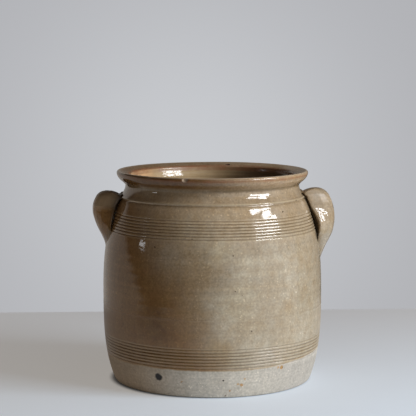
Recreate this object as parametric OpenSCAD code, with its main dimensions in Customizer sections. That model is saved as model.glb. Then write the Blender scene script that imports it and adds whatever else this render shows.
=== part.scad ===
// Confit pot: a wide stoneware storage pot with two ears, thrown in one piece and glazed to above the foot.
// Millimetres, +Z up. The foot stands on z = 0, the pot's axis is the Z axis, and the ears point to +X and -X.

/* [Thrown body] */
// Height from the table to the top of the rim
rim_h = 241.5; // [225:0.5:280]
// Diameter of the foot where it meets the table
foot_d = 227; // [200:1:236]
// Diameter of the belly at its widest
belly_d = 253; // [242:1:280]
// Height of the widest part of the belly
belly_z = 100; // [80:1:115]
// Wall thickness of the belly
wall_t = 9; // [6:0.5:12]
// Thickness of the floor
floor_t = 11; // [7:0.5:16]
// Radius of the corner inside, where the floor turns into the wall
floor_round = 18; // [8:1:30]
// Rounding of the foot's lower edge
foot_round = 2; // [1:0.25:4]

/* [Neck and rim] */
// Outer diameter of the neck at its narrowest
neck_d = 200.6; // [180:0.2:206]
// Thickness of the clay in the neck
neck_t = 8.5; // [5:0.5:10]
// How far the rim stands out past the neck
rim_overhang = 10; // [6:0.5:14]
// Height of the rim's outer face
rim_face = 11.5; // [9:0.5:16]
// How far the lower edge of the rim's face is set in from its upper edge
rim_tuck = 5.2; // [2:0.1:6]
// Height of the sloping underside between the neck and the rim's face
under_rim = 4.8; // [2:0.1:6]
// Rounding of the rim's outer edge
lip_outer_round = 2.5; // [1:0.25:3.5]
// Rounding of the rim's inner edge
lip_inner_round = 4; // [2:0.25:5]
// Slope of the rim's top, falling towards the mouth, in degrees
lip_slope = 16; // [8:1:20]
// Length of the straight throat below the rim
throat_len = 16; // [10:0.5:20]

/* [Turned ornament] */
// Depth of the shoulder ridge below the top of the rim
ridge_drop = 29.5; // [27:0.5:34]
// Diameter of the pot at the shoulder ridge
shoulder_d = 212; // [208:0.5:216]
// How far the shoulder ridge stands proud
ridge_proud = 0.9; // [0.4:0.1:1.4]
// Half the height of the shoulder ridge
ridge_half = 1.4; // [1:0.1:2]
// Number of grooves in each combed band
comb_count = 7; // [3:1:7]
// Depth of the uppermost groove below the top of the rim
upper_comb_drop = 47; // [44:0.5:54]
// Spacing of the upper grooves
upper_comb_pitch = 3.23; // [2.8:0.01:3.6]
// Height of the lowest groove above the table
lower_comb_z = 34; // [24:0.5:44]
// Spacing of the lower grooves
lower_comb_pitch = 3.5; // [2.8:0.01:4]
// Radius of a comb tooth
tooth_r = 1.2; // [0.9:0.05:1.3]
// Depth of a groove
groove_deep = 0.6; // [0.3:0.05:0.8]

/* [Ears] */
// Depth of the right ear's top below the top of the rim
right_ear_drop = 20.8; // [19:0.2:24]
// Depth of the left ear's top below the top of the rim
left_ear_drop = 23; // [19:0.2:24]
// Height of the right ear
right_ear_h = 85; // [76:1:92]
// Height of the left ear
left_ear_h = 74; // [70:1:92]
// How sharply the right ear draws in down the shoulder
right_ear_taper = 1.2; // [1:0.05:2.4]
// How sharply the left ear draws in down the shoulder
left_ear_taper = 2.3; // [1:0.05:2.6]
// Height of the rounding of the right ear's top
right_ear_cap = 7; // [4:0.5:10]
// Height of the rounding of the left ear's top
left_ear_cap = 5; // [4:0.5:10]
// Height of the gap behind the right ear
right_gap_h = 43; // [34:0.5:46]
// Height of the gap behind the left ear
left_gap_h = 36; // [34:0.5:46]
// Width of an ear at its upper root
ear_w = 50; // [40:1:56]
// Share of its width that an ear keeps above its lower tip
tip_share = 0.42; // [0.3:0.02:0.6]
// Length of the ear's rounded lower tip
tip_len = 9; // [5:0.5:12]
// How far the right ear stands out from the wall
right_ear_reach = 28; // [24:0.2:34]
// How far the left ear stands out from the wall
left_ear_reach = 26.2; // [24:0.2:34]
// Thickness of an ear along its edges
edge_t = 2; // [1.5:0.25:6]
// How far the right ear's edges draw away from the wall along its gap
right_edge_lift = 5; // [1:0.25:6]
// How far the left ear's edges draw away from the wall along its gap
left_edge_lift = 2; // [1:0.25:6]
// Depth of the top of an ear's root on the neck below the ear's top
root_drop = 4; // [3:0.2:5]
// Depth of the top of the gap below the ear's top
gap_drop = 15; // [13:0.5:18]
// Width of the gap between an ear and the wall
gap_t = 2.5; // [2:0.1:4]
// Thickness of the slip that joins the ears to the wall
slip_t = 0.8; // [0.4:0.1:1.2]
// How far the slip is squeezed out past an ear's edge
slip_bead = 1.6; // [0.8:0.1:2.4]
// Clearance between the wall and the slip, and between the slip and the ear
seat_clear = 0.25; // [0.1:0.05:0.3]

/* [Hidden] */
$fn = 96;
foot_r = foot_d / 2;
belly_r = belly_d / 2;
neck_r = neck_d / 2;
mouth_r = neck_r - neck_t;
rim_r = neck_r + rim_overhang;
shoulder_r = shoulder_d / 2;
slip_top = seat_clear + slip_t;
ear_seat = slip_top + seat_clear;
ridge_z = rim_h - ridge_drop;
face_z = rim_h - rim_face;
neck_z = face_z - under_rim;
widest_z = rim_h - lip_outer_round;

// Centres of the two roundings of the rim, with the sloping top between them tangent to both.
lip_out = [rim_r - lip_outer_round, rim_h - lip_outer_round];
lip_in_x = mouth_r + lip_inner_round;
lip_fall = (lip_inner_round - lip_outer_round + sin(lip_slope) * (lip_out[0] - lip_in_x)) / cos(lip_slope);
lip_in = [lip_in_x, lip_out[1] - lip_fall];
throat_z = lip_in[1] - throat_len;

// Bulge of the belly: the lower wall and the shoulder each follow one power curve from the widest height.
low_power = 3.1;
shoulder_power = 2.7;
inner_power = 2.6;

function ridge_bump(z) = ridge_proud * max(0, 1 - pow((z - ridge_z) / ridge_half, 2));
function low_r(z) = belly_r - (belly_r - foot_r) * pow(max(0, 1 - z / belly_z), low_power);
function shoulder_curve(z) =
    belly_r - (belly_r - shoulder_r) * pow(max(0, (z - belly_z) / (ridge_z - belly_z)), shoulder_power);
function neck_curve(z) =
    neck_r + (shoulder_r - neck_r) * pow(max(0, 1 - (z - ridge_z) / (neck_z - ridge_z)), 2);

// Outer radius of the wall at height z, without the ridge and the grooves.
function plain_r(z) = z < belly_z ? low_r(z) : z < ridge_z ? shoulder_curve(z) : neck_curve(z);
// The same with the ridge.
function outer_r(z) = plain_r(z) + ridge_bump(z);

// Radius of the hollow at height z.
function inner_r(z) = z < belly_z
    ? low_r(z) - wall_t
    : mouth_r + (belly_r - wall_t - mouth_r)
        * (1 - pow(min(1, (z - belly_z) / (throat_z - belly_z)), inner_power));

// How far a rounded corner of radius r draws the wall in, at height h above the corner's start.
function corner(h, r) = h >= r ? 0 : r * (1 - sqrt(1 - pow(1 - h / r, 2)));

// Heights at which the outer wall is drawn: close together at the foot and the ridge.
foot_steps = [for (a = [0:18:90]) foot_round * (1 - cos(a))];
low_steps = [for (i = [1:1:20]) foot_round + (belly_z - foot_round) * i / 20];
shoulder_steps = [for (i = [1:1:24]) belly_z + (ridge_z - ridge_half - belly_z) * i / 24];
ridge_steps = [for (i = [1:1:8]) ridge_z - ridge_half + 2 * ridge_half * i / 8];
neck_steps = [for (i = [1:1:7]) ridge_z + ridge_half + (neck_z - ridge_z - ridge_half) * i / 7];
wall_steps = concat(low_steps, shoulder_steps, ridge_steps, neck_steps);

// Outline of the outer wall from the foot's edge up to the neck.
foot_curve = [for (z = foot_steps) [outer_r(z) - corner(z, foot_round), z]];
wall_curve = [for (z = wall_steps) [outer_r(z), z]];

// Outline of the rim: its outer face, its rounded edges and the slope between them.
face_curve = [for (i = [0:1:6])
    let (v = i / 6)
    [rim_r - rim_tuck * pow(1 - v, 2), face_z + (widest_z - face_z) * v]];
lip_outer_arc = [for (i = [1:1:6])
    let (a = (90 + lip_slope) * i / 6)
    [lip_out[0] + lip_outer_round * cos(a), lip_out[1] + lip_outer_round * sin(a)]];
lip_inner_arc = [for (i = [0:1:5])
    let (a = 90 + lip_slope + (90 - lip_slope) * i / 5)
    [lip_in[0] + lip_inner_round * cos(a), lip_in[1] + lip_inner_round * sin(a)]];

// Outline of the hollow, from the throat down to the middle of the floor.
hollow_top = [for (i = [0:1:22]) let (z = throat_z - (throat_z - belly_z) * i / 22) [inner_r(z), z]];
hollow_low = [for (i = [1:1:10])
    let (z = belly_z - (belly_z - floor_t - floor_round) * i / 10)
    [inner_r(z), z]];
hollow_corner = [for (a = [80:-10:0])
    let (h = floor_round * (1 - cos(a)))
    [inner_r(floor_t + h) - corner(h, floor_round), floor_t + h]];

function upper_groove_z(i) = rim_h - upper_comb_drop - upper_comb_pitch * i;
function lower_groove_z(i) = lower_comb_z + lower_comb_pitch * i;

module groove_tooth(z) {
    translate([outer_r(z) + tooth_r - groove_deep, z]) circle(r = tooth_r);
}

// The pot as it leaves the wheel: floor, wall, neck and rim are one piece of clay.
module thrown_body() {
    color([0.66, 0.58, 0.45])
    rotate_extrude()
    difference() {
        polygon(concat([[0, 0]], foot_curve, wall_curve, face_curve, lip_outer_arc, lip_inner_arc,
            hollow_top, hollow_low, hollow_corner, [[0, floor_t]]));
        for (i = [0:1:comb_count - 1]) groove_tooth(upper_groove_z(i));
        for (i = [0:1:comb_count - 1]) groove_tooth(lower_groove_z(i));
    }
}

// The sizes of each ear: its top's depth, height, taper, cap, its gap's height, its reach and its edges' lift.
right_shape = [right_ear_drop, right_ear_h, right_ear_taper, right_ear_cap, right_gap_h,
    right_ear_reach, right_edge_lift];
left_shape = [left_ear_drop, left_ear_h, left_ear_taper, left_ear_cap, left_gap_h,
    left_ear_reach, left_edge_lift];

// Heights of an ear of shape e: its top and tip, its cap, its upper root on the neck, and its gap.
function top_z(e) = rim_h - e[0];
function low_z(e) = top_z(e) - e[1];
function cap_z(e) = top_z(e) - e[3];
function root_z(e) = top_z(e) - root_drop;
function gap_top_z(e) = top_z(e) - gap_drop;
function gap_low_z(e) = gap_top_z(e) - e[4];

// Part of a span of height h above the ear's tip that lies below z, from 0 to 1.
function part_up(z, e, h) = min(1, max(0, (z - low_z(e)) / h));
// How far the ear's crown stands off the wall at height z, below its rounded top.
function rise(z, e) = e[5] * pow(sin(90 * part_up(z, e, 0.85 * e[1])), e[2]);
// Share of the rounded top that is left at height z.
function cap(z, e) = z <= cap_z(e) ? 1 : sqrt(max(0, 1 - pow((z - cap_z(e)) / e[3], 2)));
// Share of the gap's full width at height z.
function opening(z, e) =
    z <= gap_low_z(e) || z >= gap_top_z(e) ? 0 : pow(sin(180 * (z - gap_low_z(e)) / e[4]), 1.5);
// Share of the ear's width left in its rounded lower tip.
function tip(z, e) = sqrt(1 - 0.9 * pow(1 - part_up(z, e, tip_len), 2));
// Half the ear's width at height z.
function half_w(z, e) =
    ear_w / 2 * (tip_share + (1 - tip_share) * sin(90 * part_up(z, e, 0.75 * e[1])))
    * (0.55 + 0.45 * cap(z, e)) * tip(z, e);
// Shape of an ear across its width: a rounded ridge with sloping cheeks.
crown_flat = 2.2;
crown_round = 1.1;
// How far the ear's middle line lies off the wall in its rounded top.
function mid_off(e) = 0.6 * e[5];
// Lift of the ear's underside where its top rounds away from the neck.
function top_lift(z, e) = pow(max(0, (z - root_z(e)) / root_drop), 1.6);

// Distance of the ear's inner face from the wall, w running from -1 to 1 across the ear.
function inside_off(z, e, w) =
    let (away = e[6] * pow(max(0, (abs(w) - 0.6) / 0.4), 1.6))
    max(ear_seat, (gap_t + away) * opening(z, e)) + (mid_off(e) - ear_seat) * top_lift(z, e);
// Distance of the ear's outer face from the wall.
function outside_off(z, e, w) =
    let (edge = inside_off(z, e, 1) + edge_t * min(1, 0.15 + 0.85 * rise(z, e) / 12) * cap(z, e))
    let (crown = mid_off(e) + (rise(cap_z(e), e) - mid_off(e)) * cap(z, e))
    let (full = (z <= cap_z(e) ? rise(z, e) : crown) + ear_seat)
    max(edge, edge + (full - edge) * pow(1 - pow(abs(w), crown_flat), crown_round));
// At its very edge the ear is rounded, so its outer face comes close to its inner one.
function rounded_out(z, e, w) =
    let (inner = inside_off(z, e, w))
    abs(w) > 0.999 ? inner + 0.35 * (outside_off(z, e, w) - inner) : outside_off(z, e, w);

// A point at height z, off a wall of radius r, and an arc's length along the wall from the ear's middle.
function on_wall(z, r, off, arc) =
    let (a = arc / (plain_r(z) + 6) * 180 / PI)
    [(r + off) * cos(a), (r + off) * sin(a), z];

// Positions across an ear, closer together at the edges.
across = [-1, -0.95, -0.84, -0.66, -0.44, -0.22, 0, 0.22, 0.44, 0.66, 0.84, 0.95, 1];

// A closed shell over rings of points, each ring an outer row of n points followed by an inner row.
module ring_shell(rings, n) {
    k = 2 * n;
    last = len(rings) - 1;
    points = [for (ring = rings) each ring];
    outer_faces = [for (j = [0:1:last - 1]) for (i = [0:1:n - 2]) each
        let (a = j * k + i)
        [[a, a + k, a + 1], [a + 1, a + k, a + k + 1]]];
    inner_faces = [for (j = [0:1:last - 1]) for (i = [0:1:n - 2]) each
        let (a = j * k + n + i)
        [[a, a + 1, a + k], [a + 1, a + k + 1, a + k]]];
    first_edge = [for (j = [0:1:last - 1]) each
        let (a = j * k)
        [[a, a + n, a + k], [a + n, a + k + n, a + k]]];
    last_edge = [for (j = [0:1:last - 1]) each
        let (a = j * k + n - 1)
        [[a, a + k, a + n], [a + n, a + k, a + k + n]]];
    low_end = [for (i = [0:1:n - 2]) each [[i, i + 1, n + i], [i + 1, n + i + 1, n + i]]];
    t = last * k;
    high_end = [for (i = [0:1:n - 2]) each
        [[t + i, t + n + i, t + i + 1], [t + i + 1, t + n + i, t + n + i + 1]]];
    polyhedron(points = points, convexity = 6,
        faces = concat(outer_faces, inner_faces, first_edge, last_edge, low_end, high_end));
}

// Heights of the rings on an ear's lower seat, on its upper seat, and on the whole ear of shape e.
function lower_seat(e) = [for (i = [0:1:9]) low_z(e) + (gap_low_z(e) - low_z(e)) * pow(i / 9, 1.5)];
function upper_seat(e) = [for (i = [0:1:14]) gap_top_z(e) + (root_z(e) - gap_top_z(e)) * i / 14];
function ear_steps(e) = concat(
    lower_seat(e),
    [for (i = [1:1:15]) gap_low_z(e) + e[4] * (1 - cos(180 * i / 16)) / 2],
    upper_seat(e),
    [for (i = [1:1:5]) root_z(e) + (root_drop - 0.15) * sin(90 * i / 5)]);

// One ear: a thick lug of clay pressed on the neck and drawn out down the shoulder.
module ear_lug(e) {
    ring_shell([for (z = ear_steps(e)) concat(
        [for (w = across) on_wall(z, plain_r(z), rounded_out(z, e, w), w * half_w(z, e))],
        [for (w = across) on_wall(z, outer_r(z), inside_off(z, e, w), w * half_w(z, e))])], len(across));
}

// The film of slip under a root, over the seat's heights, thinning to almost nothing past the ear's edges.
module slip_film(e, seat) {
    ring_shell([for (z = seat)
        let (half = half_w(z, e))
        concat(
            [on_wall(z, outer_r(z), seat_clear + 0.1, -half - slip_bead)],
            [for (w = across) on_wall(z, outer_r(z), slip_top, w * half)],
            [on_wall(z, outer_r(z), seat_clear + 0.1, half + slip_bead)],
            [on_wall(z, outer_r(z), seat_clear, -half - slip_bead)],
            [for (w = across) on_wall(z, outer_r(z), seat_clear, w * half)],
            [on_wall(z, outer_r(z), seat_clear, half + slip_bead)])], len(across) + 2);
}

module right_ear() {
    color([0.62, 0.53, 0.4]) ear_lug(right_shape);
}

module left_ear() {
    color([0.62, 0.53, 0.4]) rotate([0, 0, 180]) ear_lug(left_shape);
}

module right_ear_upper_slip() {
    color([0.5, 0.4, 0.3]) slip_film(right_shape, upper_seat(right_shape));
}

module right_ear_lower_slip() {
    color([0.5, 0.4, 0.3]) slip_film(right_shape, lower_seat(right_shape));
}

module left_ear_upper_slip() {
    color([0.5, 0.4, 0.3]) rotate([0, 0, 180]) slip_film(left_shape, upper_seat(left_shape));
}

module left_ear_lower_slip() {
    color([0.5, 0.4, 0.3]) rotate([0, 0, 180]) slip_film(left_shape, lower_seat(left_shape));
}

thrown_body();
left_ear();
right_ear();
left_ear_upper_slip();
left_ear_lower_slip();
right_ear_upper_slip();
right_ear_lower_slip();
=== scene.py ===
# Confit pot: a thrown and glazed stoneware pot with two ears, standing on a pale table by a window.
import math

import bpy
import numpy as np
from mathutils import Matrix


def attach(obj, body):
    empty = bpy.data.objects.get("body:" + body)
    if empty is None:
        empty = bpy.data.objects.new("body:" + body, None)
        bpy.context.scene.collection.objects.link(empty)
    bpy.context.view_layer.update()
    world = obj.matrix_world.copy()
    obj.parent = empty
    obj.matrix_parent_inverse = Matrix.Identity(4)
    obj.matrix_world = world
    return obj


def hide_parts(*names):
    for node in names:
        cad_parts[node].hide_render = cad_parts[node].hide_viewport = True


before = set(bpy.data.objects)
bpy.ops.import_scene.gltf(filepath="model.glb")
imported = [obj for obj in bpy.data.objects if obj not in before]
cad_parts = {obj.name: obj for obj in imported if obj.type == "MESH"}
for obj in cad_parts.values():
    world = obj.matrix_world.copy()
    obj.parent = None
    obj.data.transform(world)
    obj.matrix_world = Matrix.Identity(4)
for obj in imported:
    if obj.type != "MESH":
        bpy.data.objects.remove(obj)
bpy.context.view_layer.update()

MM = 0.001

# Sizes of the pot in millimetres, the same as in the CAD source
FOOT_RADIUS = 113.5
BELLY_RADIUS = 126.5
BELLY_HEIGHT = 100.0
WALL = 9.0
FLOOR = 11.0
FLOOR_ROUND = 18.0
NECK_RADIUS = 100.3
NECK_HEIGHT = 225.2
MOUTH_RADIUS = 91.8
THROAT_LOW = 218.0
RIM_RADIUS = 110.3
RIM_TUCK = 5.2
RIM_FACE_LOW = 230.0
RIM_WIDEST = 238.9
SHOULDER_RADIUS = 106.0
RIDGE_HEIGHT = 212.0
RIDGE_PROUD = 0.9

# Rounded edges of the lip, drawn a little inside the CAD ones: the middle of each round, its radius, and the
# turn in degrees from level at which the sloping top meets both
LIP_OUTER = (107.5, 238.7)
LIP_OUTER_ROUND = 2.5
LIP_INNER = (97.4, 234.7)
LIP_INNER_ROUND = 3.3
LIP_TURN = 106

# Heights, depths and half widths of the combed grooves, and the bands in which the glaze is thin between them
UPPER_GROOVES = [194.5 - 3.23 * i for i in range(7)]
LOWER_GROOVES = [34.0 + 3.5 * i for i in range(7)]
UPPER_DEPTH = [0.55, 0.75, 0.8, 0.8, 0.8, 0.75, 0.6]
LOWER_DEPTH = [0.5, 0.75, 0.8, 0.85, 0.8, 0.7, 0.45]
UPPER_WIDTH = 0.48
LOWER_WIDTH = 0.62
COMB_BANDS = [(35.0, 57.0), (172.5, 196.5)]

# Height in millimetres at which the glaze ends above the bare foot
GLAZE_LINE = 31.5

# Steps in which the wall is drawn: from, to and step in millimetres, finest in the combs and at the ridge
WALL_STEPS = [
    (2.0, 31.0, 1.0), (31.0, 58.5, 0.34), (58.5, 172.0, 2.1), (172.0, 197.0, 0.3), (197.0, 208.0, 1.6),
    (208.0, 214.0, 0.4), (214.0, NECK_HEIGHT, 1.3),
]

# Steps of one turn in which the section is spun round the axis
SPIN_STEPS = 240

# How far the dressed body stays inside the CAD wall, so that its unevenness never passes the CAD box
INSET = 0.35

# What the hand did to each ear, in millimetres: its side of the pot, the heights of its gap, how far its tip
# is sunk and its edges are pressed to the wall, the share by which it is smeared wider, whether its edges
# keep their place then, and its top's fall to the neck in front and behind
EARS = {
    "left": {"toward": -1, "gap_low": 167.5, "gap_top": 203.5, "sink": 2.6, "press": 2.6,
             "widen": 0.5, "hold": 0, "slope": (4.0, 6.0)},
    "right": {"toward": 1, "gap_low": 162.7, "gap_top": 205.7, "sink": 2.2, "press": 1.6,
              "widen": 0.45, "hold": 1, "slope": (1.0, 6.0)},
}

# Fineness in millimetres at which the parts of an ear are grown together
EAR_VOXEL = 0.65

# Flaws of the firing on the outside: angle from the front and height, size across in millimetres, and colour
FLAWS = [
    (-32.7, 21.5, 9.0, "#262220"), (2.7, 20.9, 2.0, "#3a302a"), (-17.7, 24.3, 1.8, "#4a3a2c"),
    (35.9, 30.6, 4.6, "#a98350"), (36.6, 30.4, 2.0, "#6e4a22"), (33.5, 30.8, 3.0, "#b7946a"),
    (12.6, 14.8, 3.8, "#b78f60"), (10.6, 15.6, 2.8, "#bb9d78"), (14.2, 21.6, 2.6, "#bb9d78"),
    (6.2, 8.3, 2.2, "#b08458"), (4.1, 2.4, 2.0, "#6a5240"), (-19.6, 18.2, 2.4, "#a98560"),
    (-34.3, 165.8, 1.9, "#2c2018"), (-13.6, 176.4, 1.8, "#2b2119"), (8.2, 120.0, 1.6, "#4f3c28"),
    (11.7, 115.9, 1.5, "#4f3c28"), (41.6, 201.9, 2.2, "#54422e"), (58.8, 211.5, 1.9, "#2f261e"),
    (16.8, 75.1, 1.8, "#54432e"), (52.5, 64.1, 2.4, "#6b4a26"), (44.1, 113.1, 1.9, "#d6cab2"),
]

# Soft clouds in the glaze: angle and height, size across in millimetres, colour and strength
CLOUDS = [
    (-12.0, 140.0, 80.0, "#866740", 0.25), (-9.0, 90.0, 60.0, "#83643c", 0.28),
    (11.0, 112.0, 66.0, "#b1a387", 0.65), (14.0, 86.0, 54.0, "#a8936f", 0.3),
    (58.0, 104.0, 96.0, "#9c8f78", 0.5), (64.0, 70.0, 80.0, "#9c8f78", 0.4),
    (16.0, 147.0, 62.0, "#bcb19a", 0.6), (-32.0, 78.0, 66.0, "#583a1f", 0.6),
    (37.0, 97.0, 26.0, "#92754a", 0.4), (1.0, 163.0, 46.0, "#c4b596", 0.55),
    (0.0, 63.0, 44.0, "#90723f", 0.6), (150.0, 120.0, 120.0, "#8a6a42", 0.6),
    (-140.0, 90.0, 110.0, "#87683f", 0.5),
]

# Middle of the orange stain inside the lip, also painted light on the lit inner wall, and how far noise moves
# the edges of clouds and flaws, in metres
STAIN_AND_PAINTED_LIGHT = (-0.083, 0.04, 0.231)
CLOUD_EDGE = 0.036
FLAW_EDGE = 0.003

# Camera: focal length in pixels of a picture 416 wide, place in millimetres, and turns in degrees
SENSOR_WIDTH = 36
FOCAL_PIXELS = 1543
PICTURE_WIDTH = 416
CAMERA_SIDE = -5.0
CAMERA_BACK = -1770.0
CAMERA_HEIGHT = 400.0
CAMERA_DOWN = 6.55
CAMERA_YAW = -3.0

# Table's width, its edges in front and behind and its drop below the foot, in metres
TABLE_WIDTH = 0.86
TABLE_FRONT = 0.42
TABLE_BACK = 0.42
TABLE_DROP = 0.0002

# Brightness and colour of the window, the wall beside it and the room
SKY = 20.0
GARDEN = 17.3
PALE_WALL = 1.17
LEFT_WINDOW = 4.0
DAYLIGHT = (0.96, 0.99, 1.03)
ROOM_FRONT = (0.05, 0.037, 0.027, 1.0)
ROOM_BACK = (0.44, 0.41, 0.375, 1.0)

# The window's panes: name, azimuth from the front and elevation in degrees, width and height in metres, and
# brightness
PANES = [
    ("upper_near_pane", 54.0, 35.7, 0.379, 0.189, SKY),
    ("upper_far_pane", 70.2, 35.7, 0.407, 0.189, SKY),
    ("middle_far_pane", 67.5, 29.4, 0.348, 0.139, SKY),
    ("lower_near_pane", 52.3, 21.5, 0.359, 0.346, GARDEN),
    ("lower_far_pane", 68.4, 21.5, 0.585, 0.346, GARDEN),
]

# Distance of the window in metres
WINDOW_DISTANCE = 1.9


# Tools for materials


def linear(hex_code):
    """An sRGB hex colour as linear red, green, blue and alpha."""
    shades = [int(hex_code[i:i + 2], 16) / 255 for i in (1, 3, 5)]
    return [s / 12.92 if s <= 0.04045 else ((s + 0.055) / 1.055) ** 2.4 for s in shades] + [1.0]


def add(tree, kind, inputs=None, **settings):
    """A node of one kind with its settings, its socket values and its links."""
    made = tree.nodes.new(kind)
    for name, value in settings.items():
        setattr(made, name, value)
    for socket, value in (inputs or {}).items():
        if isinstance(value, bpy.types.NodeSocket):
            tree.links.new(value, made.inputs[socket])
        else:
            made.inputs[socket].default_value = value
    return made


def new_finish(name):
    """An empty material, its node tree and the place on the object in metres."""
    finish = bpy.data.materials.new(name)
    finish.use_nodes = True
    tree = finish.node_tree
    tree.nodes.clear()
    return finish, tree, add(tree, "ShaderNodeTexCoord").outputs["Object"]


def mix(tree, share, first, second, blend="MIX"):
    """A colour from two, each a hex code, a linear colour or another node's output."""
    first, second = [linear(c) if isinstance(c, str) else c for c in (first, second)]
    sockets = {0: share, 6: first, 7: second}
    return add(tree, "ShaderNodeMix", sockets, data_type="RGBA", blend_type=blend).outputs[2]


def between(tree, share, first, second):
    """A number between two others."""
    return add(tree, "ShaderNodeMix", {0: share, 2: first, 3: second}).outputs[0]


def ramp(tree, value, low, high, start=0.0, end=1.0, soft=False):
    """A number that goes from start to end while the value goes from low to high, and no further."""
    sockets = {0: value, 1: low, 2: high, 3: start, 4: end}
    kind = "SMOOTHSTEP" if soft else "LINEAR"
    return add(tree, "ShaderNodeMapRange", sockets, interpolation_type=kind).outputs[0]


def calc(tree, operation, *values):
    """The result of one operation on two or three numbers."""
    return add(tree, "ShaderNodeMath", dict(enumerate(values)), operation=operation).outputs[0]


def noise(tree, place, scale, detail, roughness=0.5):
    """Soft noise with so many features to a metre."""
    sockets = {"Vector": place, "Scale": scale, "Detail": detail, "Roughness": roughness}
    return add(tree, "ShaderNodeTexNoise", sockets)


def drawn_noise(tree, place, scales, detail):
    """Noise drawn out in one direction, with its own number of features to a metre along each axis."""
    stretched = add(tree, "ShaderNodeMapping", {"Vector": place, "Scale": scales})
    return noise(tree, stretched.outputs[0], 1.0, detail).outputs["Fac"]


def distance(tree, place, middle):
    """How far a place is from a point, in metres."""
    return add(tree, "ShaderNodeVectorMath", {0: place, 1: middle}, operation="DISTANCE").outputs["Value"]


def ragged(tree, place, source, edge):
    """A place moved by noise of up to edge along each axis, so that what is drawn from it is ragged."""
    sockets = {0: source.outputs["Color"], 1: (edge, edge, edge), 2: place}
    return add(tree, "ShaderNodeVectorMath", sockets, operation="MULTIPLY_ADD").outputs[0]


def specks(tree, place, scale, channel, chance, largest):
    """1 on round specks and 0 off them. Each cell draws a number, and above the chance it has a speck, the
    larger the higher the number, up to a radius of so many cells."""
    cells = add(tree, "ShaderNodeTexVoronoi", {"Vector": place, "Scale": scale})
    draw = add(tree, "ShaderNodeSeparateColor", {0: cells.outputs["Color"]})
    size = ramp(tree, draw.outputs[channel], chance, 1.0, 0.0, largest)
    return calc(tree, "LESS_THAN", cells.outputs["Distance"], size)


def mark(tree, name):
    """A number that was stored on the piece's points."""
    return add(tree, "ShaderNodeAttribute", attribute_name=name).outputs["Fac"]


# Shape of the thrown wall


def wall_radius(z):
    """Outer radius of the wall at height z, without grooves and ridge."""
    if z < BELLY_HEIGHT:
        return BELLY_RADIUS - (BELLY_RADIUS - FOOT_RADIUS) * max(0, 1 - z / BELLY_HEIGHT) ** 3.1
    if z < RIDGE_HEIGHT:
        share = (z - BELLY_HEIGHT) / (RIDGE_HEIGHT - BELLY_HEIGHT)
        return BELLY_RADIUS - (BELLY_RADIUS - SHOULDER_RADIUS) * share ** 2.7
    share = max(0, 1 - (z - RIDGE_HEIGHT) / (NECK_HEIGHT - RIDGE_HEIGHT))
    return NECK_RADIUS + (SHOULDER_RADIUS - NECK_RADIUS) * share ** 2


def wall_at(heights):
    """Outer radius of the wall at each of many heights. Above the neck it stays the neck's."""
    return np.array([wall_radius(z) for z in heights])


def groove_depth(z):
    """Depth of the comb's grooves at height z."""
    upper = [d * math.exp(-(((z - g) / UPPER_WIDTH) ** 2)) for g, d in zip(UPPER_GROOVES, UPPER_DEPTH)]
    lower = [d * math.exp(-(((z - g) / LOWER_WIDTH) ** 2)) for g, d in zip(LOWER_GROOVES, LOWER_DEPTH)]
    return sum(upper) + sum(lower)


def ridge_height(z):
    """The raised line on the shoulder, with the slight hollow that the tool left under it."""
    line = RIDGE_PROUD * max(0, 1 - ((z - RIDGE_HEIGHT) / 1.4) ** 2)
    hollow = 0.3 * math.exp(-(((z - RIDGE_HEIGHT + 2.6) / 1.3) ** 2))
    return line - hollow


def throwing_rings(z):
    """Low finger rings of the belly and finer turning rings of the foot."""
    belly = min(1, max(0, (z - 58) / 12)) * min(1, max(0, (170 - z) / 12))
    foot = min(1, max(0, (29 - z) / 4)) * min(1, z / 4)
    rings = 0.04 * math.sin(z / 1.75 + 0.6) + 0.03 * math.sin(z / 1.02 + 2.0)
    return belly * rings + foot * 0.09 * math.sin(z / 0.52)


def outside_point(z):
    """Radius and height of the dressed wall, rounded by 2 mm at the foot."""
    radius = wall_radius(z) + ridge_height(z) - groove_depth(z) + throwing_rings(z) - INSET
    if z < 2:
        radius -= 2 * (1 - math.sqrt(1 - (1 - z / 2) ** 2))
    return radius, z


def inside_radius(z):
    """Radius of the hollow at height z."""
    if z < BELLY_HEIGHT:
        return wall_radius(z) - WALL
    share = min(1, (z - BELLY_HEIGHT) / (THROAT_LOW - BELLY_HEIGHT))
    return MOUTH_RADIUS + (BELLY_RADIUS - WALL - MOUTH_RADIUS) * (1 - share ** 2.6)


def steps(low, high, step):
    """Heights from just above low up to high."""
    count = max(1, round((high - low) / step))
    return [low + (high - low) * (i + 1) / count for i in range(count)]


def round_edge(middle, radius, start, end, count):
    """Points on a rounded edge of the section, between two turns in degrees from level."""
    turns = [math.radians(start + (end - start) * i / count) for i in range(count + 1)]
    return [(middle[0] + radius * math.cos(t), middle[1] + radius * math.sin(t)) for t in turns]


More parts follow.
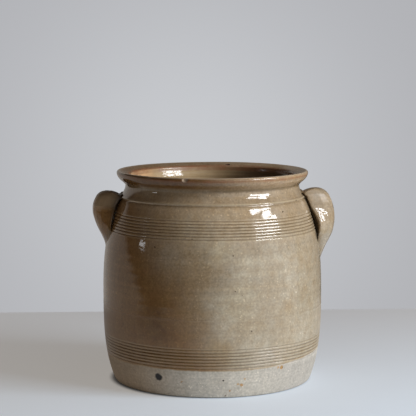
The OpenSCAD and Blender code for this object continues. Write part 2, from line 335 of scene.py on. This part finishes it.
def body_profile():
    """Half section of the pot in millimetres, from the middle of the underside round to the middle of the
    floor: underside, wall, rim, sloping top, throat and hollow."""
    heights = [0.0, 0.1, 0.35, 0.75, 1.3, 2.0]
    for low, high, step in WALL_STEPS:
        heights += steps(low, high, step)
    outline = [(0.0, 0.0), (40.0, 0.0), (80.0, 0.0), (100.0, 0.0)]
    outline += [outside_point(z) for z in heights]
    outline += [(101.2, 226.7), (102.8, 228.4), (104.2, 229.6)]
    for i in range(9):
        share = i / 8
        height = RIM_FACE_LOW + (RIM_WIDEST - RIM_FACE_LOW) * share
        outline.append((RIM_RADIUS - 0.3 - RIM_TUCK * (1 - share) ** 2, height))
    outline += round_edge(LIP_OUTER, LIP_OUTER_ROUND, 0, LIP_TURN, 8)[1:]
    outline += [(104.0, 240.2), (99.8, 239.1)]
    outline += round_edge(LIP_INNER, LIP_INNER_ROUND, LIP_TURN, 180, 6)
    for z in [233.2 - s for s in steps(0, 15.1, 0.75)]:
        flare = 2.1 * min(1, max(0, (z - 226) / 7))
        outline.append((MOUTH_RADIUS + flare + 0.1 * (1 + math.sin(z * 1.6 + 0.4)), z))
    for z in [THROAT_LOW - s for s in steps(0, THROAT_LOW - 30, 5.5)]:
        outline.append((inside_radius(z) + 0.25 * math.sin(z / 2.3), z))
    for turn in (75, 60, 45, 30, 15, 0):
        rise = FLOOR_ROUND * (1 - math.cos(math.radians(turn)))
        draw_in = FLOOR_ROUND * (1 - math.sqrt(1 - (1 - rise / FLOOR_ROUND) ** 2))
        outline.append((inside_radius(FLOOR + rise) - draw_in, FLOOR + rise))
    outline += [(70.0, 11.2), (45.0, 11.6), (20.0, 11.3), (0.0, 11.2)]
    return outline


# Tools for shaping pieces


def clear_selection():
    """Leaves edit mode and selects nothing."""
    if bpy.context.object and bpy.context.object.mode != "OBJECT":
        bpy.ops.object.mode_set(mode="OBJECT")
    bpy.ops.object.select_all(action="DESELECT")


def take(piece):
    """Makes one piece the only selected and active one."""
    clear_selection()
    piece.select_set(True)
    bpy.context.view_layer.objects.active = piece


def apply_all(piece):
    """Applies a piece's modifiers in their order."""
    take(piece)
    for modifier in list(piece.modifiers):
        bpy.ops.object.modifier_apply(modifier=modifier.name)


def points_of(piece):
    """A piece's points in millimetres."""
    flat = np.empty(len(piece.data.vertices) * 3)
    piece.data.vertices.foreach_get("co", flat)
    return flat.reshape(-1, 3) / MM


def keep_values(piece, name, values):
    """Stores one number for each point of a piece, for its material to read."""
    layer = piece.data.attributes.get(name) or piece.data.attributes.new(name, "FLOAT", "POINT")
    layer.data.foreach_set("value", np.asarray(values, dtype=np.float32))


def uneven(piece, name, size, amount, direction="NORMAL", group="", guide=None):
    """Moves a piece's surface by soft noise of one feature size, both in millimetres. With a guide object the
    features have the guide's scale instead."""
    texture = bpy.data.textures.new(name, "CLOUDS")
    texture.noise_scale = size * MM if guide is None else 1.0
    texture.noise_depth = 2
    modifier = piece.modifiers.new(name, "DISPLACE")
    modifier.texture = texture
    modifier.texture_coords = "LOCAL" if guide is None else "OBJECT"
    modifier.texture_coords_object = guide
    modifier.strength = amount * MM
    modifier.mid_level = 0.5
    modifier.direction = direction
    modifier.vertex_group = group


# The thrown body: its half section is drawn point by point and spun round the axis


def make_body():
    """The whole body with its hollow, made uneven by the hand and the comb."""
    clear_selection()
    bpy.ops.mesh.primitive_plane_add(size=0.01)
    body = bpy.context.object
    body.name = "pot_body"
    body.data.name = "pot_body"
    outline = body_profile()
    bpy.ops.object.mode_set(mode="EDIT")
    bpy.ops.mesh.select_all(action="SELECT")
    bpy.ops.mesh.merge(type="CENTER")
    last = outline[0]
    bpy.ops.transform.translate(value=(last[0] * MM, 0, last[1] * MM))
    for point in outline[1:]:
        move = ((point[0] - last[0]) * MM, 0, (point[1] - last[1]) * MM)
        bpy.ops.mesh.extrude_region_move(TRANSFORM_OT_translate={"value": move})
        last = point
    bpy.ops.mesh.select_all(action="SELECT")
    bpy.ops.mesh.spin(steps=SPIN_STEPS, angle=math.tau, center=(0, 0, 0), axis=(0, 0, 1))
    bpy.ops.mesh.select_all(action="SELECT")
    bpy.ops.mesh.remove_doubles(threshold=1e-6)
    bpy.ops.mesh.normals_make_consistent(inside=False)
    bpy.ops.object.mode_set(mode="OBJECT")
    place = points_of(body)
    height = place[:, 2]
    outside = np.hypot(place[:, 0], place[:, 1]) > wall_at(height) - 4
    standing = body.vertex_groups.new(name="standing")
    standing.add([int(i) for i in np.nonzero(height > 6)[0]], 1.0, "REPLACE")
    combed = body.vertex_groups.new(name="combed")
    for i in np.nonzero(outside & (height < 200))[0]:
        weight = groove_depth(height[i])
        if weight > 0.02:
            combed.add([int(i)], min(1.0, weight), "REPLACE")
    uneven(body, "hand wobble", 95, 0.55, group="standing")
    uneven(body, "finger dents", 26, 0.14, group="standing")
    uneven(body, "comb pressure", 14, 0.9, group="combed")
    uneven(body, "comb wander", 40, 0.9, direction="Z", group="combed")
    apply_all(body)
    return body


def make_chip_cutter(name, angle, height, radius, size):
    """A lumpy ball that breaks a flake off the rim. The angle is from the front, positive to the right."""
    clear_selection()
    turn = math.radians(angle)
    bpy.ops.mesh.primitive_ico_sphere_add(subdivisions=4, radius=1, location=(0, 0, 0))
    cutter = bpy.context.object
    cutter.name = name
    cutter.scale = [s * MM for s in size]
    cutter.rotation_euler = (0, 0, turn)
    cutter.location = (radius * math.sin(turn) * MM, -radius * math.cos(turn) * MM, height * MM)
    bpy.ops.object.transform_apply(location=True, rotation=True, scale=True)
    uneven(cutter, name, 3.2, 1.6)
    apply_all(cutter)
    return cutter


def chip_rim(body, cutter, finish):
    """Cuts a flake off the body and gives the break its own material."""
    cutter.data.materials.clear()
    cutter.data.materials.append(finish)
    modifier = body.modifiers.new("chip", "BOOLEAN")
    modifier.operation = "DIFFERENCE"
    modifier.solver = "EXACT"
    modifier.material_mode = "TRANSFER"
    modifier.object = cutter
    apply_all(body)
    bpy.data.objects.remove(cutter)


# The ears: the CAD lug and its slip grown together, softened and streaked by the hand


def copy_node(name, new_name):
    """A merged copy of a CAD node's mesh as a new object."""
    made = bpy.data.objects.new(new_name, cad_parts[name].data.copy())
    bpy.context.scene.collection.objects.link(made)
    made.data.materials.clear()
    take(made)
    bpy.ops.object.mode_set(mode="EDIT")
    bpy.ops.mesh.select_all(action="SELECT")
    bpy.ops.mesh.remove_doubles(threshold=1e-6)
    bpy.ops.object.mode_set(mode="OBJECT")
    return made


def around(place, toward):
    """Turn about the axis from an ear's middle, distance off the plain wall, and the wall's radius."""
    turn = np.arctan2(place[:, 1], place[:, 0] * toward)
    wall = wall_at(place[:, 2])
    return turn, np.hypot(place[:, 0], place[:, 1]) - wall, wall


def put_around(piece, toward, turn, radius, height):
    """Puts a piece's points at turns about the axis from an ear's middle, radii and heights."""
    place = np.column_stack((toward * radius * np.cos(turn), radius * np.sin(turn), height))
    piece.data.vertices.foreach_set("co", (place * MM).ravel())
    piece.data.update()


def work_lug(lug, ear):
    """Works a copy of the CAD lug as the hand did: the upper root is squarer and its edges stay open, its top
    slopes to the neck, and the lower root is smeared out on the shoulder."""
    place = points_of(lug)
    height = place[:, 2].copy()
    top = height.max()
    turn, off, wall = around(place, ear["toward"])
    level = np.round(height, 2)
    widest = {n: np.abs(turn[level == n]).max() for n in np.unique(level)}
    half = np.array([widest[n] for n in level])
    across = np.abs(turn) / half
    high = np.clip((height - (top - 30)) / 14, 0, 1)
    turn = np.sign(turn) * half * across ** (1 - 0.4 * high)
    close = np.clip(1 - off / 12, 0, 1)
    off += 2.0 * high * close * np.clip((across - 0.55) / 0.4, 0, 1) ** 1.5
    low = np.clip((ear["gap_low"] + 6 - height) / 16, 0, 1)
    off -= ear["press"] * across ** 1.5 * np.clip((ear["gap_top"] - 4 - height) / 14, 0, 1)
    off = off * (1 - 0.85 * low * across ** 3) - ear["sink"] * low
    wider = turn * (1 + ear["widen"] * np.clip((ear["gap_top"] - 8 - height) / 30, 0, 1))
    off += ear["hold"] * (1 - low) * wall * (np.cos(turn) / np.cos(wider) - 1)
    cap = np.clip((height - (top - 14)) / 10, 0, 1)
    front = place[:, 1] < 0
    fall = np.where(front, ear["slope"][0], ear["slope"][1])
    height -= fall * cap * np.clip(1 - off / np.where(front, 16, 26), 0, 1)
    put_around(lug, ear["toward"], wider, wall + off, height)


def press_core(core, ear):
    """Presses a narrower copy of the lug onto the wall, so that the gap is a crease along each edge."""
    place = points_of(core)
    turn, off, wall = around(place, ear["toward"])
    off -= 3.6 * np.clip((place[:, 2].max() - 6 - place[:, 2]) / 8, 0, 1)
    put_around(core, ear["toward"], 0.7 * turn, wall + off, place[:, 2])


def make_slip(side, root, ear):
    """A root's slip, fattened to meet the lug and let into the wall. The upper one shows only under the lug's
    middle, and the lower one is sunk with the lug's tip."""
    slip = copy_node(side + "_ear_" + root + "_slip", side + "_slip")
    bpy.ops.object.mode_set(mode="EDIT")
    bpy.ops.mesh.select_all(action="SELECT")
    bpy.ops.transform.shrink_fatten(value=0.6 * MM)
    bpy.ops.object.mode_set(mode="OBJECT")
    place = points_of(slip)
    radius = np.hypot(place[:, 0], place[:, 1])
    inner = radius < np.array([wall_radius(z) + ridge_height(z) for z in place[:, 2]]) + 0.2
    for polygon in slip.data.polygons:
        polygon.select = all(inner[v] for v in polygon.vertices)
    bpy.ops.object.mode_set(mode="EDIT")
    bpy.ops.mesh.select_mode(type="FACE")
    bpy.ops.mesh.extrude_region_move()
    bpy.ops.transform.resize(value=(0.97, 0.97, 1), center_override=(0, 0, 0))
    bpy.ops.object.mode_set(mode="OBJECT")
    place = points_of(slip)
    turn, off, wall = around(place, ear["toward"])
    if root == "upper":
        turn *= 0.66
    else:
        off -= ear["sink"]
    put_around(slip, ear["toward"], turn, wall + off, place[:, 2])
    return slip


def make_ear(side, ear):
    """One ear: lug, core and both slips made one, smoothed, streaked and drawn out to the CAD ear's reach."""
    lug = copy_node(side + "_ear", side + "_ear_dressed")
    reach = np.abs(points_of(lug)[:, 0]).max()
    work_lug(lug, ear)
    core = copy_node(side + "_ear", side + "_core")
    work_lug(core, ear)
    press_core(core, ear)
    for joined in (core, make_slip(side, "upper", ear), make_slip(side, "lower", ear)):
        take(lug)
        joined.select_set(True)
        bpy.ops.object.join()
    grown = lug.modifiers.new("grown together", "REMESH")
    grown.mode = "VOXEL"
    grown.voxel_size = EAR_VOXEL * MM
    soft = lug.modifiers.new("soft", "SMOOTH")
    soft.factor = 0.5
    soft.iterations = 3
    guide = bpy.data.objects.new("streak guide", None)
    bpy.context.scene.collection.objects.link(guide)
    guide.scale = (4 * MM, 4 * MM, 45 * MM)
    bpy.context.view_layer.update()
    uneven(lug, "pulled streaks", 0, 0.35, guide=guide)
    uneven(lug, "finger lumps", 17, 0.5)
    apply_all(lug)
    bpy.data.objects.remove(guide)
    place = points_of(lug)
    turn, off, wall = around(place, ear["toward"])
    short = reach - 0.15 - np.abs(place[:, 0]).max()
    off += short * np.clip(off / 15, 0, 1)
    put_around(lug, ear["toward"], turn, wall + off, place[:, 2])
    bpy.ops.object.shade_smooth()
    return lug


# Surfaces


def spot(angle, height, edge):
    """A point in metres on the outer wall, moved as noise moves a ragged place on average. The angle is from
    the front, positive to the right."""
    turn = math.radians(angle)
    radius = wall_radius(height)
    point = (radius * math.sin(turn) * MM, -radius * math.cos(turn) * MM, height * MM)
    return [c + edge / 2 for c in point]


def lining_colour_and_painted_light(tree, x, mottles, drifting):
    """Inside, the glaze is olive brown, painted darker towards the right as painted shade away from the
    window, with an orange stain under the lip at the left, lightened as painted light on the lit inner wall."""
    olive = mix(tree, mottles.outputs["Fac"], "#a68b66", "#c4ab85")
    # Painted shade: darker towards the right, away from the window
    olive = mix(tree, ramp(tree, x, -0.03, 0.06, 0.0, 0.85, soft=True), olive, "#3c2a1b")
    # Orange stain, lightened as painted light where the window lights the inner wall
    away = distance(tree, drifting, [c + CLOUD_EDGE / 2 for c in STAIN_AND_PAINTED_LIGHT])
    return mix(tree, ramp(tree, away, 0.044, 0.0, 0.0, 0.85, soft=True), olive, "#d8ac80")


def bare_colour(tree, place, x, shade):
    """Bare clay of the foot: pale, flamed brown and painted darker at the left as painted shade, and
    painted darker and greyer at the lit right as painted shade.
    """
    patches = noise(tree, place, 45.0, 5.0, 0.65)
    bare = mix(tree, patches.outputs["Fac"], "#b7ad9c", "#cdc6b9")
    # Painted shade: browner and darker at the left, away from the window, partly the flamed clay
    bare = mix(tree, ramp(tree, x, -0.012, -0.1, 0.0, 0.9, soft=True), bare, "#957e63")
    # Painted shade: darker and greyer on the lit right side, to tone down the window's light
    bare = mix(tree, ramp(tree, x, 0.025, 0.085, 0.0, 0.85), bare, "#aca59a")
    return mix(tree, 1.0, bare, shade, "MULTIPLY")


def with_flaws(tree, place, colour):
    """A colour with the single flaws of the firing on it, their edges ragged."""
    burred = ragged(tree, place, noise(tree, place, 350.0, 2.0), FLAW_EDGE)
    for angle, height, size, tint in FLAWS:
        away = distance(tree, burred, spot(angle, height, FLAW_EDGE))
        cover = ramp(tree, away, size * 0.6 * MM, size * 0.4 * MM)
        colour = mix(tree, cover, colour, tint)
    return colour


def stoneware_glaze():
    """Ash glaze on stoneware, poured and wood fired: glossy warm tan with grey clouds, an orange peel skin
    and iron specks, dark where it pooled in the grooves. Painted shade darkens it away from the window and
    under the rim, and painted light lightens the shoulder. Below the glaze line the clay is bare, pale and
    matt."""
    finish, tree, place = new_finish("ash_glazed_stoneware")
    x, y, z = add(tree, "ShaderNodeSeparateXYZ", {0: place}).outputs

    # Drifts about 60 mm across and mottling about 9 mm across
    drifts = noise(tree, place, 17.0, 3.0)
    mottles = noise(tree, place, 110.0, 4.0, 0.6)
    glaze = mix(tree, ramp(tree, drifts.outputs["Fac"], 0.36, 0.64), "#a5967e", "#b0a591")

    # The shoulder is a little browner
    high = ramp(tree, z, 0.155, 0.195, 0.0, 0.5, soft=True)
    glaze = mix(tree, high, glaze, "#947d62")

    # The rim is browner than the wall, in streaks round it
    on_rim = ramp(tree, z, 0.227, 0.2295)
    streak = ramp(tree, drawn_noise(tree, place, (14.0, 14.0, 700.0), 3.0), 0.3, 0.7, 0.05, 0.5)
    glaze = mix(tree, calc(tree, "MULTIPLY", streak, on_rim), glaze, "#9a7752")

    # The side away from the window was flamed browner, with a ragged edge, and is painted darker there as
    # painted shade
    drifting = ragged(tree, place, drifts, CLOUD_EDGE)
    flame_and_shade_side = add(tree, "ShaderNodeVectorMath", {0: drifting, 1: (1.0, 0.0, 0.45)}, operation="DOT_PRODUCT")
    flamed_and_shaded = ramp(tree, flame_and_shade_side.outputs["Value"], 0.083, 0.0, 0.0, 0.94, soft=True)
    glaze = mix(tree, flamed_and_shaded, glaze, "#7a542b")

    # Painted shade: the rim's face is painted darker and browner at the left, most of all in front, where it
    # turns away from the window
    rim_shaded_side = ramp(tree, x, 0.045, -0.05, 0.0, 0.95, soft=True)
    rim_shade = calc(tree, "MULTIPLY", rim_shaded_side, ramp(tree, y, 0.03, -0.03, 0.25, 1.0))
    glaze = mix(tree, calc(tree, "MULTIPLY", on_rim, rim_shade), glaze, "#68421a")

    # Clouds with ragged edges, under the mottling
    for angle, height, size, colour, strength in CLOUDS:
        away = distance(tree, drifting, spot(angle, height, CLOUD_EDGE))
        cover = ramp(tree, away, size / 2 * MM, 0.0, 0.0, strength, soft=True)
        glaze = mix(tree, cover, glaze, colour)
    mottle = ramp(tree, mottles.outputs["Fac"], 0.33, 0.7, 0.0, 0.4)
    glaze = mix(tree, mottle, glaze, "#8e7148")

    # Runs of the glaze down the wall, about 8 mm wide, and faint rings of the wheel
    runs = drawn_noise(tree, place, (120.0, 120.0, 9.0), 2.0)
    rings = drawn_noise(tree, place, (5.0, 5.0, 260.0), 2.0)
    flow = ramp(tree, calc(tree, "ADD", runs, rings), 0.7, 1.3, 0.9, 1.1)

    # Painted light: the shoulder is painted lighter, most at the front and left, and the rim lighter at the
    # right and darker, as painted shade, at the left
    shoulder_painted_light = calc(tree, "MULTIPLY", high, ramp(tree, x, 0.06, 0.01, 0.12, 0.54))
    below_rim = ramp(tree, z, 0.222, 0.208)
    shoulder_shade = calc(tree, "MULTIPLY_ADD", shoulder_painted_light, below_rim, 1.0)
    rim_painted_light_and_shade = ramp(tree, x, 0.0, 0.065, -0.12, 0.28)
    side_shade = calc(tree, "MULTIPLY_ADD", on_rim, rim_painted_light_and_shade, shoulder_shade)

    # Speckle of the clay showing through, about 2.5 mm so that it shows in a picture of this size
    grain = ramp(tree, noise(tree, place, 420.0, 2.0).outputs["Fac"], 0.3, 0.7, 0.84, 1.14)
    shade = calc(tree, "MULTIPLY", flow, calc(tree, "MULTIPLY", grain, side_shade))

    # Pale pinholes up to 2 mm across, a few millimetres apart
    pinhole = specks(tree, place, 300.0, 1, 0.3, 0.3)
    shade = calc(tree, "MULTIPLY", shade, calc(tree, "MULTIPLY_ADD", pinhole, 0.3, 1.0))
    glaze = mix(tree, 1.0, glaze, shade, "MULTIPLY")

    # Iron specks up to 2 mm across, one to about every 25 mm
    speck = specks(tree, place, 60.0, 0, 0.7, 0.06)
    glaze = mix(tree, calc(tree, "MULTIPLY", speck, 0.75), glaze, "#54402b")

    # Glaze pools dark in the grooves and lies thin and pale on ridges
    # The pooled mark is also painted shade under the rim, where the ears meet the wall and inside their gaps
    glaze = mix(tree, mark(tree, "pooled_glaze_and_shade"), glaze, "#66512f")
    glaze = mix(tree, mark(tree, "thin"), glaze, "#c2b193")
    # Painted shade, darkest in the left ear's upper crease
    glaze = mix(tree, mark(tree, "crease"), glaze, "#2b1d11")
    glaze = mix(tree, mark(tree, "lining"), glaze, lining_colour_and_painted_light(tree, x, mottles, drifting))

    # The lip is worn: reddish clay shows along its edges in patches, and its top edge is rubbed pale
    patches = noise(tree, place, 75.0, 4.0, 0.65)
    rubbed = ramp(tree, patches.outputs["Fac"], 0.36, 0.6, 0.35, 1.0)
    wear = calc(tree, "MULTIPLY", mark(tree, "worn"), rubbed)
    glaze = mix(tree, wear, glaze, "#8c5d40")
    # The pale top edge is partly a painted highlight along the lip
    glaze = mix(tree, mark(tree, "pale"), glaze, "#c9b49a")

    # The glaze ends in an uneven line above the foot, a little higher at the right and browner along its edge
    climb = ramp(tree, x, 0.05, 0.12, 0.0, 0.007)
    uneven_line = noise(tree, place, 60.0, 3.0).outputs["Fac"]
    level = calc(tree, "MULTIPLY_ADD", uneven_line, 0.004, calc(tree, "SUBTRACT", z, climb))
    glazed = ramp(tree, level, (GLAZE_LINE + 1.2) * MM, (GLAZE_LINE + 2.8) * MM)
    brink = ramp(tree, level, (GLAZE_LINE + 4.4) * MM, (GLAZE_LINE + 2.0) * MM, 0.0, 0.45)
    glaze = mix(tree, brink, glaze, "#a58350")
    colour = mix(tree, glazed, bare_colour(tree, place, x, shade), glaze)
    colour = with_flaws(tree, place, colour)

    # Gloss on the glaze, satin on the lower belly, dull on the ears' tops and the worn lip, matt clay below
    gloss = ramp(tree, mottles.outputs["Fac"], 0.3, 0.7, 0.065, 0.03)
    gloss = between(tree, ramp(tree, z, 0.105, 0.08), gloss, 0.38)
    gloss = between(tree, mark(tree, "dry"), gloss, 0.45)
    gloss = between(tree, wear, gloss, 0.4)
    roughness = between(tree, glazed, 0.75, gloss)

    # Orange peel about 5 mm across on the glaze, sand about 1 mm across on the clay
    peel = noise(tree, place, 210.0, 3.0)
    sand = noise(tree, place, 900.0, 2.0)
    skin = between(tree, glazed, sand.outputs["Fac"], peel.outputs["Fac"])
    bump = add(tree, "ShaderNodeBump", {"Strength": 0.3, "Distance": 0.0003, "Height": skin})
    sockets = {"Base Color": colour, "IOR": 1.52, "Roughness": roughness, "Normal": bump.outputs[0]}
    surface = add(tree, "ShaderNodeBsdfPrincipled", sockets)
    add(tree, "ShaderNodeOutputMaterial", {0: surface.outputs[0]})
    return finish


def broken_clay(name, pale, dark):
    """Broken stoneware where a flake came off the rim: rough, unglazed and stained with use."""
    finish, tree, place = new_finish(name)
    grains = noise(tree, place, 500.0, 3.0).outputs["Fac"]
    colour = mix(tree, grains, dark, pale)
    bump = add(tree, "ShaderNodeBump", {"Strength": 0.6, "Distance": 0.0003, "Height": grains})
    sockets = {"Base Color": colour, "Roughness": 0.85, "IOR": 1.52, "Normal": bump.outputs[0]}
    surface = add(tree, "ShaderNodeBsdfPrincipled", sockets)
    add(tree, "ShaderNodeOutputMaterial", {0: surface.outputs[0]})
    return finish


def bell(values, middle, width):
    """1 at the middle, falling softly to 0 on both sides."""
    return np.exp(-(((values - middle) / width) ** 2))


def mark_body(body):
    """Numbers on the body's points that its glaze reads: pooled, with painted shade under the rim, thin,
    worn, pale, partly a painted highlight on the lip, and inside.
    """
    place = points_of(body)
    height = place[:, 2]
    radius = np.hypot(place[:, 0], place[:, 1])
    wall = wall_at(height)
    outside = (radius > wall - 4) & (height < NECK_HEIGHT)
    depth = np.array([groove_depth(z) for z in height])
    under_ridge = bell(height, RIDGE_HEIGHT - 2.4, 1.1)
    # Painted shade in the corner under the rim
    painted_shade_under_rim = bell(height, NECK_HEIGHT + 1.0, 1.6) * (radius > NECK_RADIUS - 1)
    pooled_glaze_and_shade = np.where(outside, np.clip(0.78 * depth + 0.4 * under_ridge, 0, 1), 0) + 0.55 * painted_shade_under_rim
    keep_values(body, "pooled_glaze_and_shade", pooled_glaze_and_shade)
    crest = bell(height, RIDGE_HEIGHT, 0.9) * outside
    in_comb = np.any([(height > low) & (height < high) for low, high in COMB_BANDS], axis=0)
    lands = in_comb * outside * np.clip(1 - depth / 0.25, 0, 1)
    keep_values(body, "thin", 0.5 * crest + 0.15 * lands)
    below_edge = bell(height, 237.6, 1.5) * (radius > 106)
    inner_edge = bell(radius, 95.2, 1.9) * (height > 232)
    keep_values(body, "worn", np.clip(0.75 * below_edge + 0.95 * inner_edge, 0, 1))
    # Pale top edge of the lip, partly a painted highlight
    keep_values(body, "pale", 0.9 * bell(radius, 107.9, 1.4) * (height > 240))
    lining = (radius < MOUTH_RADIUS + 2.8) & (height > 5) & (height < 237) & ~outside
    lining |= (radius < wall - 4) & (height > 5) & (height < 222)
    keep_values(body, "lining", lining.astype(float))


def mark_ear(ear, side):
    """Numbers on an ear's points that its glaze reads. Painted shade darkens it where the ear meets the wall
    and inside its gap, darkest in the left one's upper crease. It is dry over an ear's top, and thin there on
    the left one."""
    place = points_of(ear)
    height = place[:, 2]
    away = np.maximum(0, np.hypot(place[:, 0], place[:, 1]) - wall_at(height))
    low = np.clip((height - height.min()) / 30, 0, 1)
    high = np.clip((height - (height.max() - 30)) / 12, 0, 1)
    cap = np.clip((height - (height.max() - 22)) / 8, 0, 1)
    # Painted shade where the ear meets the wall and in its gap
    keep_values(ear, "pooled_glaze_and_shade", 0.75 * bell(away, 0, 4.0) * low)
    # Painted shade in the left ear's upper crease
    keep_values(ear, "crease", 0.85 * bell(away, 0, 9.0) * high * (side == "left"))
    keep_values(ear, "dry", cap)
    keep_values(ear, "thin", 0.4 * cap * (side == "left"))


# Table, room, window light and camera


def make_table():
    """A pale painted board, painted darker and greyer towards the back as painted shade where the window's
    light falls off. It glows a little, a painted light that keeps its shadows soft, and the glow fades close
    under the foot as a painted contact shadow."""
    clear_selection()
    bpy.ops.mesh.primitive_plane_add(size=1, location=(0, 0, 0))
    table = bpy.context.object
    table.name = "table"
    bpy.ops.object.mode_set(mode="EDIT")
    bpy.ops.mesh.select_all(action="SELECT")
    bpy.ops.transform.resize(value=(TABLE_WIDTH, TABLE_FRONT + TABLE_BACK, 1))
    bpy.ops.transform.translate(value=(0, (TABLE_BACK - TABLE_FRONT) / 2, -TABLE_DROP))
    bpy.ops.object.mode_set(mode="OBJECT")
    finish, tree, place = new_finish("pale_painted_board")
    y = add(tree, "ShaderNodeSeparateXYZ", {0: place}).outputs[1]
    far = ramp(tree, y, -0.25, 0.4)
    paint = mix(tree, noise(tree, place, 9.0, 3.0).outputs["Fac"], "#b4c6da", "#bacde0")
    # Painted shade: darker and greyer towards the back
    colour = mix(tree, far, paint, "#888e95")
    board = add(tree, "ShaderNodeBsdfPrincipled", {"Base Color": colour, "Roughness": 0.7})
    glow = mix(tree, far, "#959089", "#979492")
    # Painted contact shadow: the glow fades close under the foot
    glow_with_contact_shadow = ramp(tree, distance(tree, place, (-0.003, 0.0, 0.0)), 0.11, 0.119, 0.05, 1.0, soft=True)
    lift = add(tree, "ShaderNodeEmission", {"Color": glow, "Strength": glow_with_contact_shadow})
    both = add(tree, "ShaderNodeAddShader", {0: board.outputs[0], 1: lift.outputs[0]})
    add(tree, "ShaderNodeOutputMaterial", {0: both.outputs[0]})
    table.data.materials.append(finish)


def make_pane(name, azimuth, elevation, away, width, height, brightness):
    """A soft light the size of a window pane. The azimuth is from the front, positive to the right."""
    clear_selection()
    turn = math.radians(azimuth)
    rise = math.radians(elevation)
    flat = away * math.cos(rise)
    place = (flat * math.sin(turn), -flat * math.cos(turn), 0.15 + away * math.sin(rise))
    bpy.ops.object.light_add(type="AREA", location=place)
    pane = bpy.context.object
    pane.name = name
    pane.data.shape = "RECTANGLE"
    pane.data.size = width
    pane.data.size_y = height
    pane.data.energy = brightness * math.pi * width * height
    pane.data.color = DAYLIGHT
    pane.rotation_euler = (math.pi / 2 - rise, 0, turn)


def make_light():
    """A window at the right front with five bright panes, the pale wall beside it, which fades to both ends,
    and a small window at the left."""
    for name, azimuth, elevation, width, height, brightness in PANES:
        make_pane(name, azimuth, elevation, WINDOW_DISTANCE, width, height, brightness)
    for azimuth in range(0, 100, 10):
        fade = math.sin(math.pi * (azimuth + 5) / 110) ** 0.8
        make_pane("pale_wall", azimuth, 9, 2.4, 0.415, 2.0, PALE_WALL * fade)
    make_pane("left_window", -83, 9.5, 2.2, 0.3, 0.14, LEFT_WINDOW)


def make_room():
    """The room's own light: dim and warm, and pale behind at the left. The camera sees a plain grey wall
    instead, with painted light making it a little brighter behind the pot."""
    world = bpy.data.worlds.new("room")
    world.use_nodes = True
    tree = world.node_tree
    tree.nodes.clear()
    toward = add(tree, "ShaderNodeTexCoord").outputs["Generated"]
    x = add(tree, "ShaderNodeSeparateXYZ", {0: toward}).outputs[0]
    low = add(tree, "ShaderNodeVectorMath", {0: toward, 1: (0.0, 1.0, -1.8)}, operation="DOT_PRODUCT")
    behind = ramp(tree, low.outputs["Value"], 0.05, 0.3, soft=True)
    lit = calc(tree, "MULTIPLY", behind, ramp(tree, x, 0.1, -0.3, 0.2, 1.0))
    light = mix(tree, lit, ROOM_FRONT, ROOM_BACK)
    # Painted light on the wall behind the pot
    glow = ramp(tree, distance(tree, toward, (0.041, 0.995, -0.09)), 0.19, 0.0, soft=True)
    wall = mix(tree, glow, "#b2b3b7", "#c8cace")
    seen = add(tree, "ShaderNodeLightPath").outputs["Is Camera Ray"]
    background = add(tree, "ShaderNodeBackground", {"Color": mix(tree, seen, light, wall)})
    add(tree, "ShaderNodeOutputWorld", {0: background.outputs[0]})
    bpy.context.scene.world = world


def make_camera():
    """The camera at the photo's angle."""
    camera = bpy.data.objects.new("camera", bpy.data.cameras.new("camera"))
    bpy.context.scene.collection.objects.link(camera)
    camera.data.sensor_width = SENSOR_WIDTH
    camera.data.lens = SENSOR_WIDTH * FOCAL_PIXELS / PICTURE_WIDTH
    yaw = math.radians(CAMERA_YAW)
    side = CAMERA_SIDE * MM
    back = CAMERA_BACK * MM
    x = side * math.cos(yaw) - back * math.sin(yaw)
    y = side * math.sin(yaw) + back * math.cos(yaw)
    camera.location = (x, y, CAMERA_HEIGHT * MM)
    camera.rotation_euler = (math.radians(90 - CAMERA_DOWN), 0, yaw)
    bpy.context.scene.camera = camera


# The scene

bpy.context.scene.view_settings.view_transform = "Standard"
make_camera()

glaze = stoneware_glaze()
body = make_body()
body.data.materials.clear()
body.data.materials.append(glaze)
pale_chip = broken_clay("broken_clay_pale", "#cbb69d", "#94785c")
dark_chip = broken_clay("broken_clay_stained", "#5e3a28", "#331f14")
chip_rim(body, make_chip_cutter("front_flake", -18.7, 239.2, 111.4, (4.0, 3.1, 2.8)), pale_chip)
chip_rim(body, make_chip_cutter("back_flake", 166.0, 239.9, 98.0, (3.2, 2.4, 2.4)), dark_chip)
mark_body(body)
take(body)
bpy.ops.object.shade_smooth_by_angle(angle=math.radians(50))
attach(body, "root")
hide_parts("thrown_body")

for side, shape in EARS.items():
    ear = make_ear(side, shape)
    ear.data.materials.append(glaze)
    mark_ear(ear, side)
    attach(ear, "root")
    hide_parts(side + "_ear", side + "_ear_upper_slip", side + "_ear_lower_slip")

make_table()
make_light()
make_room()
